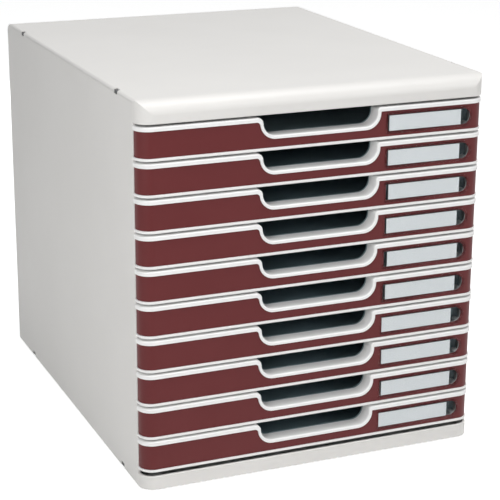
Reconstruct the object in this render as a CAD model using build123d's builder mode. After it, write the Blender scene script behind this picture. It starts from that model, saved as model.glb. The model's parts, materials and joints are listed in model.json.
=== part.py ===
from build123d import *

import os
from math import sqrt

# Ten-drawer storage unit for stamps, inks and craft papers, in millimetres.
# +Z up, fronts towards -Y, origin on the table under the middle of the closed unit.
# Every drawer is a dark tray with a pale front frame, a coloured front plate, a clear label
# window and a paper label card. The case is five moulded panels held by clips at their edges.

# Case
case_width = 300.0
case_depth = 380.0
case_wall = 2.5
corner_radius = 12.0  # plan radius of the nose, plinth and drawer fronts
back_edge_radius = 10.0  # roll-over where the top meets the back
top_edge_radius = 2.2  # along both long edges of the top
panel_gap = 0.15  # hairline between neighbouring case panels
foot_proud = 1.5  # how far the feet lift the case off the table

# Height stack, from the table up
plinth_top = 13.0
plinth_gap = 3.2
drawer_count = 10
front_height = 26.85
front_gap = 1.7  # dark line between two drawer fronts
nose_gap = 1.85  # dark line under the nose
nose_height = 18.15
nose_radius = 11.0

# Drawer front
front_depth = 13.0
front_wall = 3.6
front_clearance = 0.4  # closed front to the case sides
edge_round = 0.8
rim_top = 3.5
rim_bottom = 2.4
rim_round = 1.2
hollow_lip = 0.5  # lips of the scoop inside the frame
plate_thickness = 1.2
plate_recess = 1.0  # plate face behind the rim
plate_play = 0.05

# Finger scoop
scoop_centre = 2.0
scoop_width = 98.8
scoop_depth = 14.85
scoop_radius = 10.3
scoop_lip_left = 5.0
scoop_lip_right = 2.9
scoop_rim = 2.7
plate_lip_left = 3.4
plate_lip_right = 0.5

# Label
label_thickness = 0.3
label_offset = 1.2  # from the left end of the slot to the card
label_shifts = (0.0, -0.2, 1.0, 0.2, 1.8, 1.0, -1.2, -0.6, 0.2, -1.2)  # card in each drawer
label_play = 0.2
label_margin = 0.9  # slot taller than the card
grip_space = 8.9  # right of the card, where a fingertip slides it out
slot_flat = 0.5  # straight part of the rounded end for a fingertip
slot_corner = 0.6  # end of the slot at the card
slot_gap = 6.7  # from the scoop to the slot
slot_margin = 13.9  # from the slot to the end of the front
slot_relief = 0.5  # frame opening past the slot of the plate
window_foot = 1.95  # from the lower rim to the window
window_head = 1.7  # from the window to the upper rim
window_lap = 2.0  # window past the slot, all round
window_skin = 0.45
window_pocket = 0.4  # room for the card behind it

# Tray and its runners
tray_wall = 1.8
tray_floor = 1.6
tray_lift = 1.2  # floor of the tray above the foot of the front
tray_height = 23.8
tray_corner = 4.0
tray_rim_round = 0.6
tray_gap = 0.8  # tray side to runner
tray_rear_gap = 3.0
flange_lift = 21.0
flange_thickness = 1.8
flange_side_gap = 1.6
runner_width = 7.0
runner_thickness = 2.0
runner_play = 0.2
runner_end_gap = 6.0
guide_play = 0.6
guide_thickness = 1.8

# Pull-out stop
travel = 280.0
stop_inset = 8.0
stop_length = 4.0
stop_play = 0.3
tooth_length = 6.0

# Pegs that hold the frame to the tray
peg_radius = 1.4
peg_play = 0.1
peg_lift = 4.6
peg_inset = 3.0  # outer pegs from the sides of the tray
peg_reach = 4.0  # inner pegs from the scoop
boss_radius = 2.3

# Edge clips
clip_front = 52.0  # middle of the front clips behind the front face
clip_back = 55.0  # middle of the rear clips before the back face
notch_length = 8.0
notch_height = 3.8
clip_length = 14.0
clip_width = 8.0
clip_height = 6.0
nib_play = 0.2  # nib in its notch, all round
nib_sink = 0.4  # nib below the face of the side
nib_drop = 0.8  # nib below the face of the top

# Feet
foot_radius = 8.0
foot_height = 3.0
foot_inset = 28.0
foot_play = 0.1

# Back panel
field_inset = 22.0
field_depth = 0.9

spare = 2.0  # how far cutters run past a face

half_width = case_width / 2
inner_half = half_width - case_wall
front_face = -case_depth / 2
back_face = case_depth / 2
panel_line = front_face + front_depth  # back of the drawer fronts
panel_front = panel_line + front_clearance  # front edge of the case sides
inner_back = back_face - case_wall
pitch = front_height + front_gap
lowest_front = plinth_top + plinth_gap
nose_bottom = lowest_front + drawer_count * pitch - front_gap + nose_gap
case_height = nose_bottom + nose_height
inner_top = case_height - case_wall
lip_bottom = case_height - back_edge_radius
base_top = foot_proud + case_wall

band_top = front_height - rim_top
plate_seat = plate_recess + plate_thickness + plate_play
slot_height = band_top - rim_bottom - window_foot - window_head - 2 * window_lap
slot_round = (slot_height - slot_flat) / 2
label_height = slot_height - label_margin
label_lift = rim_bottom + window_foot + window_lap + slot_height / 2
slot_start = scoop_centre + scoop_width / 2 + scoop_rim + slot_gap
slot_length = half_width - slot_margin - slot_start
slot_middle = slot_start + slot_length / 2
label_length = slot_length - label_offset - grip_space
label_middle = slot_start + label_offset + label_length / 2
pocket_start = slot_start + label_offset + min(label_shifts) - label_play
pocket_length = label_length + max(label_shifts) - min(label_shifts) + 2 * label_play
tray_half = inner_half - runner_width - tray_gap
tray_back = inner_back - tray_rear_gap
flange_half = inner_half - flange_side_gap
tooth_front = panel_front + stop_inset + stop_length + travel + stop_play

peg_half = scoop_width / 2 + peg_reach
outer_peg = tray_half - peg_inset
peg_spots = [
    (x, peg_lift) for x in (-outer_peg, scoop_centre - peg_half, scoop_centre + peg_half, outer_peg)
]
levels = [lowest_front + pitch * (drawer_count - 1 - n) for n in range(drawer_count)]
clip_places = (front_face + clip_front, back_face - clip_back)

elevation = Plane.XZ.offset(-front_face)  # the front face, looking along +Y
side_view = Plane.YZ.offset(-case_width)


def front_plan(inset, back):
    """Plan of the front zone drawn in by inset: straight sides and rounded front corners."""
    half = half_width - inset
    front = front_face + inset
    with BuildSketch(mode=Mode.PRIVATE) as plan:
        with BuildLine():
            Polyline((half, back), (half, front), (-half, front), (-half, back), close=True)
        make_face()
        fillet(plan.vertices().group_by(Axis.Y)[0], corner_radius - inset)
    return plan.sketch


def side_outline(inset):
    """Case seen from the side, drawn in by inset: rolled nose and back top edge."""
    front, back, top = front_face + inset, back_face - inset, case_height - inset
    with BuildSketch(mode=Mode.PRIVATE) as outline:
        with BuildLine():
            Polyline((front, -spare), (front, top), (back, top), (back, -spare), close=True)
        make_face()
        fillet(outline.vertices().group_by(Axis.Y)[-1].sort_by(Axis.X)[0], nose_radius - inset)
        fillet(outline.vertices().group_by(Axis.Y)[-1].sort_by(Axis.X)[-1], back_edge_radius - inset)
    return outline.sketch


def scoop_outline(grow, top, lip_left, lip_right):
    """Finger scoop seen from the front, grown by grow, with its lips rounded up to top."""
    floor = front_height - scoop_depth - grow
    radius = scoop_radius + grow
    above = front_height + spare
    lip_starts = []
    with BuildSketch(mode=Mode.PRIVATE) as scoop:
        with BuildLine():
            for way, lip in ((1, lip_left), (-1, lip_right)):
                wall = scoop_centre - way * (scoop_width / 2 + grow)
                rise = top - lip - floor - radius
                turn = Vector(wall + way * radius, floor + radius)
                if rise > 0:
                    lip_centre = Vector(wall - way * lip, top - lip)
                    low, high = Vector(wall, floor + radius), Vector(wall, top - lip)
                    Line(low, high)
                else:
                    reach = sqrt((radius + lip) ** 2 - rise**2)
                    lip_centre = turn + Vector(-way * reach, rise)
                    low = turn + (lip_centre - turn) * (radius / (radius + lip))
                    high = low
                lip_starts.append((lip_centre.X, top))
                TangentArc(lip_starts[-1], high, tangent=(way, 0))
                TangentArc((turn.X, floor), low, tangent=(-way, 0))
                Line((turn.X, floor), (scoop_centre, floor))
            (left, _), (right, _) = lip_starts
            Polyline((left, top), (left, above), (right, above), (right, top))
        make_face()
    return scoop.sketch


def label_slot(grow):
    """Opening behind the card, grown by grow: square at the card, round for a fingertip."""
    with BuildSketch(mode=Mode.PRIVATE) as slot:
        with Locations((slot_middle, label_lift)):
            Rectangle(slot_length + 2 * grow, slot_height + 2 * grow)
        fillet(slot.vertices().group_by(Axis.X)[-1], slot_round + grow)
        fillet(slot.vertices().group_by(Axis.X)[0], slot_corner + grow)
    return slot.sketch


# Top cover: plate, rounded nose at the front and a lip rolled over the back edge.
with BuildPart() as top_space:
    with BuildSketch(Plane.XY.offset(nose_bottom - spare)):
        add(front_plan(case_wall, panel_front))
        with Locations((0, (panel_front - panel_gap + inner_back) / 2)):
            Rectangle(case_width + 2 * spare, inner_back - panel_front + panel_gap)
    extrude(amount=nose_height + spare)
    with BuildSketch(side_view):
        add(side_outline(case_wall))
    extrude(amount=2 * case_width, mode=Mode.INTERSECT)

with BuildPart() as top_cover:
    with BuildSketch(Plane.XY.offset(nose_bottom)):
        add(front_plan(0, back_face))
    extrude(amount=nose_height)
    with BuildSketch(side_view):
        add(side_outline(0))
    extrude(amount=2 * case_width, mode=Mode.INTERSECT)
    with BuildSketch(Plane.XZ.offset(-case_depth)) as crown:
        with Locations((0, case_height / 2)):
            Rectangle(case_width, case_height)
        fillet(crown.vertices().group_by(Axis.Y)[-1], top_edge_radius)
    extrude(amount=2 * case_depth, mode=Mode.INTERSECT)
    add(top_space.part, mode=Mode.SUBTRACT)
    with Locations((0, back_face, lip_bottom)):
        Box(
            case_width + spare, 2 * (case_wall + spare), nose_height,
            align=(Align.CENTER, Align.CENTER, Align.MAX), mode=Mode.SUBTRACT,
        )
    fillet(top_cover.edges().group_by(Axis.Z)[0], edge_round)
    for clip_y in clip_places:
        for side in (-1, 1):
            with Locations((side * half_width, clip_y, case_height)):
                Box(
                    2 * (case_wall + panel_gap + nib_play), notch_length, 2 * notch_height,
                    mode=Mode.SUBTRACT,
                )

# Base: floor with an upstanding plinth at the front, and pockets under it for the feet.
with BuildPart() as base_panel:
    with BuildSketch(Plane.XY.offset(foot_proud)):
        add(front_plan(0, panel_line))
        with Locations((0, (panel_line + inner_back - panel_gap) / 2)):
            Rectangle(2 * (inner_half - panel_gap), inner_back - panel_gap - panel_line)
    extrude(amount=case_wall)
    with BuildSketch(Plane.XY.offset(foot_proud)):
        add(front_plan(0, panel_line))
        add(front_plan(case_wall, panel_line + spare), mode=Mode.SUBTRACT)
    extrude(amount=plinth_top - foot_proud)
    fillet(base_panel.edges().group_by(Axis.Z)[-1], edge_round)
    for foot_x in (-1, 1):
        for foot_y in (-1, 1):
            spot = (foot_x * (half_width - foot_inset), foot_y * (back_face - foot_inset))
            with Locations((*spot, foot_proud)):
                Cylinder(
                    foot_radius + foot_play, foot_height - foot_proud,
                    align=(Align.CENTER, Align.CENTER, Align.MIN), mode=Mode.SUBTRACT,
                )

with BuildPart() as rubber_feet:
    with BuildSketch():
        with GridLocations(case_width - 2 * foot_inset, case_depth - 2 * foot_inset, 2, 2):
            Circle(foot_radius)
    extrude(amount=foot_height)

# Right side, mirrored for the left: a wall with a runner and a guide rib for every drawer.
with BuildPart() as right_side:
    with BuildSketch(Plane.YZ.offset(inner_half)) as wall_shape:
        with BuildLine():
            Polyline(
                (panel_front, foot_proud), (panel_front, inner_top - panel_gap),
                (inner_back - panel_gap, inner_top - panel_gap),
                (inner_back - panel_gap, foot_proud), close=True,
            )
        make_face()
        fillet(
            wall_shape.vertices().group_by(Axis.Y)[-1].sort_by(Axis.X)[-1],
            back_edge_radius - case_wall,
        )
    extrude(amount=case_wall)
    fillet(right_side.edges().filter_by(Axis.Z).group_by(Axis.Y)[0].sort_by(Axis.X)[-1], edge_round)
    runner_length = inner_back - panel_gap - panel_front - runner_end_gap
    rib_place = (Align.MAX, Align.MIN, Align.MIN)
    for level in levels:
        runner_top = level + flange_lift - runner_play
        guide_foot = level + flange_lift + flange_thickness + guide_play
        with Locations((inner_half, panel_front, runner_top - runner_thickness)):
            Box(runner_width, runner_length, runner_thickness, align=rib_place)
        with Locations((inner_half, panel_front, guide_foot)):
            Box(runner_width, runner_length, guide_thickness, align=rib_place)
        with Locations((inner_half, panel_front + stop_inset, runner_top)):
            Box(
                flange_side_gap - stop_play, stop_length, guide_foot - runner_top,
                align=rib_place,
            )
    for clip_y in clip_places:
        for notch_z in (foot_proud, case_height):
            with Locations((half_width, clip_y, notch_z)):
                Box(4 * case_wall, notch_length, 2 * notch_height, mode=Mode.SUBTRACT)

with BuildPart() as left_side:
    mirror(right_side.part, about=Plane.YZ)

# Back panel with a shallow stiffening field.
with BuildPart() as back_panel:
    with BuildSketch(Plane.XZ.offset(-back_face)):
        with Locations((0, (foot_proud + lip_bottom - panel_gap) / 2)):
            Rectangle(case_width, lip_bottom - panel_gap - foot_proud)
    extrude(amount=case_wall)
    fillet(back_panel.edges().filter_by(Axis.Z).group_by(Axis.Y)[-1], edge_round)
    with BuildSketch(Plane.XZ.offset(-back_face)) as field:
        with Locations((0, (foot_proud + lip_bottom) / 2)):
            Rectangle(case_width - 2 * field_inset, lip_bottom - foot_proud - 2 * field_inset)
        fillet(field.vertices(), corner_radius)
    extrude(amount=field_depth, mode=Mode.SUBTRACT)

# Clips: a block inside each edge of the case, with a nib that shows in the notch.
nib_rise = notch_height - nib_play
with BuildPart() as edge_clips:
    for clip_y in clip_places:
        for side in (-1, 1):
            reach = side * (inner_half - panel_gap)
            inward = Align.MAX if side > 0 else Align.MIN
            outward = Align.MIN if side > 0 else Align.MAX
            block_place = (inward, Align.CENTER, Align.MIN)
            for block_foot, nib_foot, nib_height in (
                (base_top + panel_gap, foot_proud + nib_play, nib_rise - nib_play),
                (inner_top - panel_gap - clip_height, case_height - nib_rise, nib_rise - nib_drop),
            ):
                with Locations((reach, clip_y, block_foot)):
                    Box(clip_width, clip_length, clip_height, align=block_place)
                with Locations((reach, clip_y, nib_foot)):
                    Box(
                        case_wall + panel_gap - nib_sink, notch_length - 2 * nib_play, nib_height,
                        align=(outward, Align.CENTER, Align.MIN),
                    )

# Drawer front frame: a hollow pale moulding, open at the back, with the finger scoop.
with BuildPart() as plate_band:
    with BuildSketch(Plane.XY.offset(rim_bottom)):
        add(front_plan(-spare, panel_line + spare))
        add(front_plan(plate_seat, panel_line + 2 * spare), mode=Mode.SUBTRACT)
    extrude(amount=band_top - rim_bottom)
    with BuildSketch(elevation):
        add(scoop_outline(scoop_rim, band_top, plate_lip_left, plate_lip_right))
    extrude(amount=front_depth, both=True, mode=Mode.SUBTRACT)

with BuildPart() as frame_hollow:
    with BuildSketch(Plane.XY.offset(front_wall)):
        add(front_plan(front_wall, panel_line + spare))
    extrude(amount=front_height - 2 * front_wall)
    with BuildSketch(elevation):
        add(scoop_outline(front_wall, front_height - front_wall, hollow_lip, hollow_lip))
    extrude(amount=-front_depth - 2 * spare, mode=Mode.SUBTRACT)

with BuildPart() as frame:
    with BuildSketch():
        add(front_plan(0, panel_line))
    extrude(amount=front_height)
    with BuildSketch(elevation):
        add(scoop_outline(0, front_height, scoop_lip_left, scoop_lip_right))
    extrude(amount=-front_depth - spare, mode=Mode.SUBTRACT)
    front_edges = frame.faces().sort_by(Axis.Y)[0].edges()
    rims = frame.edges().filter_by(Plane.XY).filter_by(
        lambda edge: abs(edge.center().X) > half_width - corner_radius
    )
    side_rims = rims.filter_by(lambda edge: edge.center().Y < panel_line - rim_round)
    fillet(front_edges + side_rims, rim_round)
    add(plate_band.part, mode=Mode.SUBTRACT)
    add(frame_hollow.part, mode=Mode.SUBTRACT)
    with BuildSketch(elevation):
        add(label_slot(slot_relief))
    extrude(amount=-front_wall - spare, mode=Mode.SUBTRACT)
    with BuildSketch(elevation.offset(-front_wall)):
        with Locations(*peg_spots):
            Circle(boss_radius)
    extrude(amount=front_wall - front_depth)
    with BuildSketch(elevation.offset(-front_depth)):
        with Locations(*peg_spots):
            Circle(peg_radius)
    extrude(amount=-tray_wall)

# Front plate, let into the frame and bent round both of its corners.
with BuildPart() as plate:
    with BuildSketch(Plane.XY.offset(rim_bottom + plate_play)):
        add(front_plan(plate_recess, panel_line))
        add(front_plan(plate_recess + plate_thickness, panel_line + spare), mode=Mode.SUBTRACT)
    extrude(amount=band_top - rim_bottom - 2 * plate_play)
    with BuildSketch(elevation):
        add(
            scoop_outline(
                scoop_rim + plate_play, band_top - plate_play, plate_lip_left, plate_lip_right,
            )
        )
        add(label_slot(0))
    extrude(amount=-front_depth, mode=Mode.SUBTRACT)

# Clear window on the plate, hollowed behind so that the card slides between them.
with BuildPart() as window:
    with BuildSketch(elevation.offset(-plate_recess)):
        add(label_slot(window_lap))
    extrude(amount=window_pocket + window_skin)
    fillet(window.faces().sort_by(Axis.Y)[0].edges(), window_skin / 2)
    with BuildSketch(elevation.offset(-plate_recess)):
        with Locations((pocket_start + pocket_length / 2, label_lift)):
            Rectangle(pocket_length, label_height + 2 * label_play)
    extrude(amount=window_pocket, mode=Mode.SUBTRACT)

with BuildPart() as label:
    with BuildSketch(elevation.offset(-plate_recess)):
        with Locations((label_middle, label_lift)):
            Rectangle(label_length, label_height)
    extrude(amount=label_thickness)

# Tray: open box with a flange along both sides that slides on the runners.
with BuildPart() as tray:
    with BuildSketch(Plane.XY.offset(tray_lift)) as tray_plan:
        with Locations((0, (panel_line + tray_back) / 2)):
            Rectangle(2 * tray_half, tray_back - panel_line)
        fillet(tray_plan.vertices().group_by(Axis.Y)[-1], tray_corner)
    extrude(amount=tray_height)
    with BuildSketch(Plane.XY.offset(tray_lift + tray_floor)) as tray_hollow:
        with Locations((0, (panel_line + tray_back) / 2)):
            Rectangle(2 * (tray_half - tray_wall), tray_back - panel_line - 2 * tray_wall)
        fillet(tray_hollow.vertices(), tray_corner - tray_wall)
    extrude(amount=tray_height, mode=Mode.SUBTRACT)
    fillet(tray.edges().group_by(Axis.Z)[-1], tray_rim_round)
    for side in (-1, 1):
        inward = Align.MIN if side > 0 else Align.MAX
        flange_place = (inward, Align.MIN, Align.MIN)
        with Locations((side * tray_half, panel_front + front_clearance, flange_lift)):
            Box(
                flange_half - tray_half, tray_back - tray_corner - panel_front - front_clearance,
                flange_thickness, align=flange_place,
            )
        with Locations((side * flange_half, tooth_front, flange_lift)):
            Box(
                flange_side_gap - stop_play, tooth_length, flange_thickness, align=flange_place,
            )
    with BuildSketch(elevation.offset(-front_depth + spare)):
        add(scoop_outline(0, front_height, scoop_lip_left, scoop_lip_right))
        with Locations(*peg_spots):
            Circle(peg_radius + peg_play)
    extrude(amount=-tray_wall - 2 * spare, mode=Mode.SUBTRACT)

os.makedirs("parts", exist_ok=True)

case_pieces = {
    "top_cover": top_cover,
    "base_panel": base_panel,
    "left_side": left_side,
    "right_side": right_side,
    "back_panel": back_panel,
    "edge_clips": edge_clips,
    "rubber_feet": rubber_feet,
}
for name, piece in case_pieces.items():
    piece.part.label = name
    export_step(piece.part, f"parts/{name}.step")

drawer_pieces = {
    "tray": tray,
    "frame": frame,
    "plate": plate,
    "window": window,
    "label": label,
}
for number, level in enumerate(levels, start=1):
    for name, piece in drawer_pieces.items():
        shift = label_shifts[number - 1] if name == "label" else 0.0
        with BuildPart() as placed:
            with Locations((shift, 0, level)):
                add(piece.part)
        placed.part.label = f"drawer_{number:02d}_{name}"
        export_step(placed.part, f"parts/{placed.part.label}.step")

print("overall", case_width, case_depth, round(case_height, 3))
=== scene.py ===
import json
from math import cos, sin

import bpy
from mathutils import Matrix, Vector

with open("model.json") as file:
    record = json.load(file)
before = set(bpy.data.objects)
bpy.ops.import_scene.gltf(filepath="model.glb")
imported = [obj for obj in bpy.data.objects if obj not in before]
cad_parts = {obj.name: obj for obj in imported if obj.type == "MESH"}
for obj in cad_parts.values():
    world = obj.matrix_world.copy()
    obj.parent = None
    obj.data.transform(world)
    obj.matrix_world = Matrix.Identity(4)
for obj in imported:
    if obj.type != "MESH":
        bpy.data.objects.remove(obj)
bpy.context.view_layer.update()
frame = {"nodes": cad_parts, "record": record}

print("frame loaded:", len(frame["nodes"]), "nodes")

scene = bpy.context.scene
scene.view_settings.view_transform = "Standard"


def linear(hexColour):
    # sRGB hex to the linear red, green, blue and alpha that the shaders take
    parts = [int(hexColour[i:i + 2], 16) / 255 for i in (1, 3, 5)]
    return [p / 12.92 if p <= 0.04045 else ((p + 0.055) / 1.055) ** 2.4 for p in parts] + [1.0]


def node(tree, kind, settings=None, **links):
    # one shader node: settings go on its properties, or on sockets by name or number, and links
    # bring an output to a socket by name, or by number after an n
    made = tree.nodes.new(kind)
    for name, value in (settings or {}).items():
        if hasattr(made, name):
            setattr(made, name, value)
        else:
            made.inputs[int(name) if name.isdigit() else name].default_value = value
    for name, source in links.items():
        numbered = name[0] == "n" and name[1:].isdigit()
        tree.links.new(source, made.inputs[int(name[1:]) if numbered else name])
    return made


def material(name, **surface):
    # a Principled material with its constant values set straight on the shader
    made = bpy.data.materials.new(name)
    made.use_nodes = True
    tree = made.node_tree
    tree.nodes.clear()
    shader = node(tree, "ShaderNodeBsdfPrincipled", surface)
    node(tree, "ShaderNodeOutputMaterial", Surface=shader.outputs[0])
    return made, tree, shader


def seenRays(tree):
    # 1 for what the camera sees, directly, mirrored or through a window, 0 for light on surfaces
    path = node(tree, "ShaderNodeLightPath")
    bent = node(tree, "ShaderNodeMath", {"operation": "MAXIMUM"}, n0=path.outputs["Is Glossy Ray"],
                n1=path.outputs["Is Transmission Ray"])
    return node(tree, "ShaderNodeMath", {"operation": "MAXIMUM"}, n0=path.outputs["Is Camera Ray"],
                n1=bent.outputs[0]).outputs[0]


cloudDetail = {"Detail": 3.0, "Roughness": 0.55}  # soft patches with ragged rims
grainDetail = {"Detail": 2.0, "Roughness": 0.6}  # crisper, for the tool's eroded surface
grainDepth = 0.3  # depth of the grain as a share of its width


def speckle(tree, shader, colours, patch, grain, bump, roughness, spread):
    # slow cloudiness in colour and gloss over patches, fine grain in the relief, sizes in metres
    place = node(tree, "ShaderNodeTexCoord").outputs["Object"]
    cloud = node(tree, "ShaderNodeTexNoise", {"Scale": 1 / patch, **cloudDetail}, Vector=place)
    tint = node(tree, "ShaderNodeMix", {"data_type": "RGBA", "6": linear(colours[0]),
                                        "7": linear(colours[1])}, Factor=cloud.outputs[0])
    tree.links.new(tint.outputs[2], shader.inputs["Base Color"])
    gloss = node(tree, "ShaderNodeMapRange", {"3": roughness - spread, "4": roughness + spread},
                 Value=cloud.outputs[0])
    tree.links.new(gloss.outputs[0], shader.inputs["Roughness"])
    fine = node(tree, "ShaderNodeTexNoise", {"Scale": 1 / grain, **grainDetail}, Vector=place)
    relief = node(tree, "ShaderNodeBump", {"Strength": bump, "Distance": grain * grainDepth},
                  Height=fine.outputs[0])
    tree.links.new(relief.outputs[0], shader.inputs["Normal"])


# Impact polystyrene, injection moulded in a spark-eroded tool: pale grey, dull satin, fine grain
caseLook = {"colours": ("#dfddda", "#dad8d5"), "patch": 0.09, "grain": 0.0006, "bump": 0.18,
            "roughness": 0.46, "spread": 0.04}
casePlastic, tree, shader = material("impactPolystyreneGrey", **{"IOR": 1.59})
speckle(tree, shader, **caseLook)

# Same polystyrene from a polished tool: whiter, smoother, with a soft sheen on its rounded rims
frameLook = {"colours": ("#f0efee", "#ebebea"), "patch": 0.05, "grain": 0.0005, "bump": 0.08,
             "roughness": 0.36, "spread": 0.04}
framePlastic, tree, shader = material("polystyreneFrameWhite", **{"IOR": 1.59})
speckle(tree, shader, **frameLook)

# Dyed ABS strip: deep burgundy, even satin with little shine, so the colour stays full
plateLook = {"colours": ("#5e1b1d", "#581719"), "patch": 0.04, "grain": 0.0005, "bump": 0.12,
             "roughness": 0.5, "spread": 0.05}
platePlastic, tree, shader = material("absBurgundySatin", **{"IOR": 1.53, "Specular IOR Level": 0.3})
speckle(tree, shader, **plateLook)

# Slate-blue polystyrene of the trays: the same tool finish as the case, darker
trayLook = {"colours": ("#879ca3", "#7f949b"), "patch": 0.06, "grain": 0.0006, "bump": 0.15,
            "roughness": 0.5, "spread": 0.05}
trayPlastic, tree, shader = material("polystyreneTraySlate", **{"IOR": 1.59})
speckle(tree, shader, **trayLook)

# Clear moulded polystyrene: nearly all light goes straight through, the rest is a faint dark veil of
# painted shade that dims the card, the plate and the ends of the slot behind it, and the glints of a
# polished surface
windowPaintedShadeLook = {"Base Color": linear("#3c4346"), "Alpha": 0.06, "Roughness": 0.05, "IOR": 1.59}
windowPlastic, tree, shader = material("clearPolystyreneWindow", **windowPaintedShadeLook)

# Uncoated white card: matt, with faint fibres
cardLook = {"colours": ("#f0f5f7", "#eaf0f3"), "patch": 0.004, "grain": 0.0003, "bump": 0.2,
            "roughness": 0.85, "spread": 0.04}
cardPaper, tree, shader = material("uncoatedCard", **{"IOR": 1.45})
speckle(tree, shader, **cardLook)

# Black moulded nylon clips: near black, slightly shiny
clipLook = {"colours": ("#191c1e", "#131617"), "patch": 0.01, "grain": 0.0004, "bump": 0.15,
            "roughness": 0.45, "spread": 0.05}
clipNylon, tree, shader = material("nylonClipBlack", **{"IOR": 1.53})
speckle(tree, shader, **clipLook)

# Moulded rubber feet: dull black
footLook = {"colours": ("#242424", "#1d1d1d"), "patch": 0.008, "grain": 0.0004, "bump": 0.3,
            "roughness": 0.8, "spread": 0.05}
footRubber, tree, shader = material("mouldedRubber", **{"IOR": 1.52})
speckle(tree, shader, **footLook)

slotLooks = {"case_grey": casePlastic, "frame_white": framePlastic, "plate_burgundy": platePlastic,
             "tray_slate": trayPlastic, "window_clear": windowPlastic, "label_paper": cardPaper,
             "clip_black": clipNylon, "foot_rubber": footRubber}
slotOf = {part["node"]: part["material_slot"] for part in frame["record"]["subparts"]}
for name, obj in frame["nodes"].items():
    look = slotLooks[slotOf[name]]
    for holder in obj.material_slots:
        holder.material = look
    if not obj.material_slots:
        obj.data.materials.append(look)
print("materials on", len(slotOf), "nodes")

# Camera at the front left, a little above, looking along yaw and down by pitch, in radians
cameraPlace = {"location": (-0.5278, -1.3031, 0.5774), "yaw": 0.399, "pitch": 0.307, "roll": 0.006,
               "lens": 115.9, "sensor": 36, "farthest": 20}
yaw, pitch, roll = cameraPlace["yaw"], cameraPlace["pitch"], cameraPlace["roll"]
ahead = Vector((sin(yaw) * cos(pitch), cos(yaw) * cos(pitch), -sin(pitch)))
right = Vector((cos(yaw), -sin(yaw), 0))
up = right.cross(ahead)
turnedRight = cos(roll) * right + sin(roll) * up
turnedUp = -sin(roll) * right + cos(roll) * up
lens = bpy.data.cameras.new("camera")
lens.sensor_width = cameraPlace["sensor"]
lens.lens = cameraPlace["lens"]
lens.clip_end = cameraPlace["farthest"]
camera = bpy.data.objects.new("camera", lens)
camera.matrix_world = Matrix.Translation(cameraPlace["location"]) @ Matrix(
    (turnedRight, turnedUp, -ahead)).transposed().to_4x4()
scene.collection.objects.link(camera)
scene.camera = camera

# Pale floor: matt paint that the camera sees lifted to white, with the object's faint shadow
floorLook = {"size": 12.0, "colour": "#e6e6e5", "roughness": 0.9, "lift": 0.72}
bpy.ops.mesh.primitive_plane_add(size=floorLook["size"], location=(0, 0, 0))
floor = bpy.context.object
floor.name = "floor"
floorPaint, tree, shader = material(
    "matteFloorPaint", **{"Base Color": linear(floorLook["colour"]), "Roughness": floorLook["roughness"],
                          "Emission Color": linear("#ffffff")})
lift = node(tree, "ShaderNodeMath", {"operation": "MULTIPLY", "1": floorLook["lift"]},
            n0=seenRays(tree))
tree.links.new(lift.outputs[0], shader.inputs["Emission Strength"])
floor.data.materials.append(floorPaint)

# World: a dim soft room for the light on surfaces, plain white where it is seen or mirrored
roomLight = {"strength": 0.21, "colour": "#f6f8fa", "seen": "#ffffff"}
world = bpy.data.worlds.new("studioRoom")
scene.world = world
world.use_nodes = True
tree = world.node_tree
tree.nodes.clear()
room = node(tree, "ShaderNodeBackground", {"Color": linear(roomLight["colour"]),
                                           "Strength": roomLight["strength"]})
white = node(tree, "ShaderNodeBackground", {"Color": linear(roomLight["seen"]), "Strength": 1.0})
pick = node(tree, "ShaderNodeMixShader", None, n0=seenRays(tree), n1=room.outputs[0],
            n2=white.outputs[0])
node(tree, "ShaderNodeOutputWorld", Surface=pick.outputs[0])


def softbox(name, place, target, size, power):
    # square area lamp at place, turned to face target
    data = bpy.data.lights.new(name, "AREA")
    data.size = size
    data.energy = power
    lamp = bpy.data.objects.new(name, data)
    way = Vector(target) - Vector(place)
    lamp.matrix_world = Matrix.Translation(place) @ way.to_track_quat("-Z", "Y").to_matrix().to_4x4()
    scene.collection.objects.link(lamp)


# place, target, side in metres and power in watts of each lamp
lamps = {
    "rightBox": ((0.8, -1.3, 0.8), (0, -0.15, 0.2), 0.6, 4.2),
    "topBox": ((0.3, -0.5, 1.9), (0, 0, 0.3), 1.0, 19.5),
    "backBox": ((0.35, 1.4, 0.16), (0, 0.19, 0.16), 0.28, 2.6),
    "nearBox": ((-0.72, -0.72, 0.62), (-0.15, -0.1, 0.2), 0.45, 4.3),
}
for name, (place, target, size, power) in lamps.items():
    softbox(name, place, target, size, power)
print("camera, floor and", len(lamps), "lamps set")
